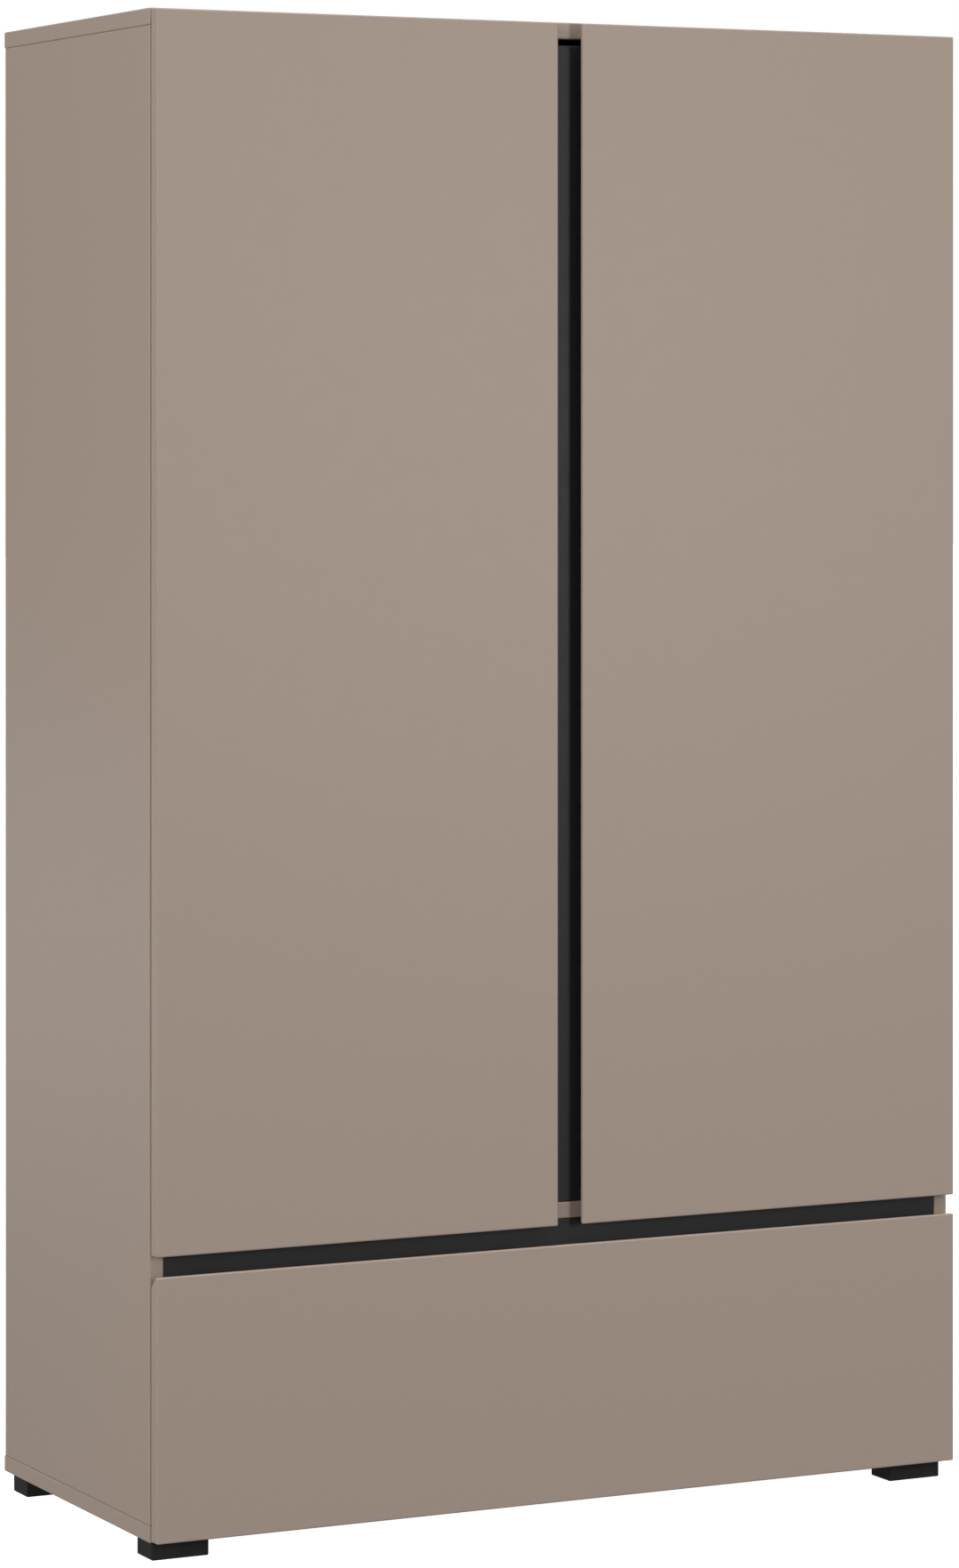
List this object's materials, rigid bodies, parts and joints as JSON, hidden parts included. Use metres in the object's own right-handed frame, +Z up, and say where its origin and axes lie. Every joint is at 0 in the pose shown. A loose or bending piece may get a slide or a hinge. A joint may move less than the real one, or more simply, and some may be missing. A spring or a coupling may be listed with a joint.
{
  "type": "wardrobe",
  "caption": "Tall handle-less wardrobe with overlay doors above a full-width drawer, bevelled finger-grip gaps, shelves and hanging rail inside, on block feet.",
  "frame": {"origin": "on the floor under the middle of the closed wardrobe", "axes": "+Z up, +X to the right of someone facing the doors, +Y from the doors to the back"},
  "size_m": [1.2, 0.532, 2],
  "materials": {
    "taupe_board": "matt taupe melamine on chipboard",
    "taupe_front": "matt taupe lacquer on fibreboard",
    "black_cover": "matt black foil on fibreboard",
    "black_foot": "matt black moulded block",
    "hdf_back": "thin painted hardboard",
    "drawer_board": "matt taupe melamine on chipboard",
    "white_plastic": "pale moulded strip",
    "clear_rubber": "translucent soft pad",
    "beech_dowel": "ribbed beech",
    "zinc_fitting": "zinc plated",
    "screw_steel": "zinc plated",
    "hinge_steel": "nickel plated",
    "runner_steel": "zinc plated",
    "rail_chrome": "polished"
  },
  "bodies": {
    "carcass": {"back_joint_strip": "white_plastic", "back_nails": "screw_steel", "back_panel_left": "hdf_back", "back_panel_right": "hdf_back", "bottom_panel": "taupe_board", "cam_bolts": "zinc_fitting", "cam_locks": "zinc_fitting", "carcass_dowels": "beech_dowel", "centre_cover_strip": "black_cover", "centre_partition": "taupe_board", "door_buffers": "clear_rubber", "drawer_cover_rail": "black_cover", "fixed_shelf": "taupe_board", "foot_front_left": "black_foot", "foot_front_right": "black_foot", "foot_rear_left": "black_foot", "foot_rear_right": "black_foot", "foot_screws": "screw_steel", "hanging_rail": "rail_chrome", "hat_shelf": "taupe_board", "hinge_arms_left": "hinge_steel", "hinge_arms_right": "hinge_steel", "hinge_plate_screws": "screw_steel", "hinge_plates_left": "hinge_steel", "hinge_plates_right": "hinge_steel", "loose_shelf_1": "taupe_board", "loose_shelf_2": "taupe_board", "loose_shelf_3": "taupe_board", "loose_shelf_4": "taupe_board", "rail_brackets": "zinc_fitting", "runner_outer_left": "runner_steel", "runner_outer_right": "runner_steel", "shelf_pins": "zinc_fitting", "side_panel_left": "taupe_board", "side_panel_right": "taupe_board", "top_panel": "taupe_board", "wall_brackets": "zinc_fitting"},
    "door_left": {"door_left": "taupe_front", "hinge_cups_left": "hinge_steel", "hinge_pins_left": "hinge_steel", "hinge_cup_screws_left": "screw_steel"},
    "door_right": {"door_right": "taupe_front", "hinge_cups_right": "hinge_steel", "hinge_pins_right": "hinge_steel", "hinge_cup_screws_right": "screw_steel"},
    "runner_middles": {"runner_middle_left": "runner_steel", "runner_middle_right": "runner_steel"},
    "drawer": {"drawer_front": "taupe_front", "drawer_side_left": "drawer_board", "drawer_side_right": "drawer_board", "drawer_back": "drawer_board", "drawer_bottom": "hdf_back", "drawer_brace": "drawer_board", "drawer_cams": "zinc_fitting", "drawer_screws": "screw_steel", "runner_inner_left": "runner_steel", "runner_inner_right": "runner_steel"}
  },
  "joints": [
    {"name": "door_left_open", "type": "hinge", "parent": "carcass", "child": "door_left", "pos_m": [-0.5924, -0.254, 1.1975], "axis": [0, 0, -1], "range_deg": [0, 105]},
    {"name": "door_right_open", "type": "hinge", "parent": "carcass", "child": "door_right", "pos_m": [0.5924, -0.254, 1.1975], "axis": [0, 0, 1], "range_deg": [0, 105]},
    {"name": "drawer_slide", "type": "slide", "parent": "carcass", "child": "drawer", "axis": [0, -1, 0], "range_m": [0, 0.43]},
    {"name": "runner_middles_slide", "type": "slide", "parent": "carcass", "child": "runner_middles", "axis": [0, -1, 0], "range_m": [0, 0.215]}
  ],
  "couplings": [
    {"joint": "runner_middles_slide", "follows": "drawer_slide", "ratio": 0.5}
  ]
}
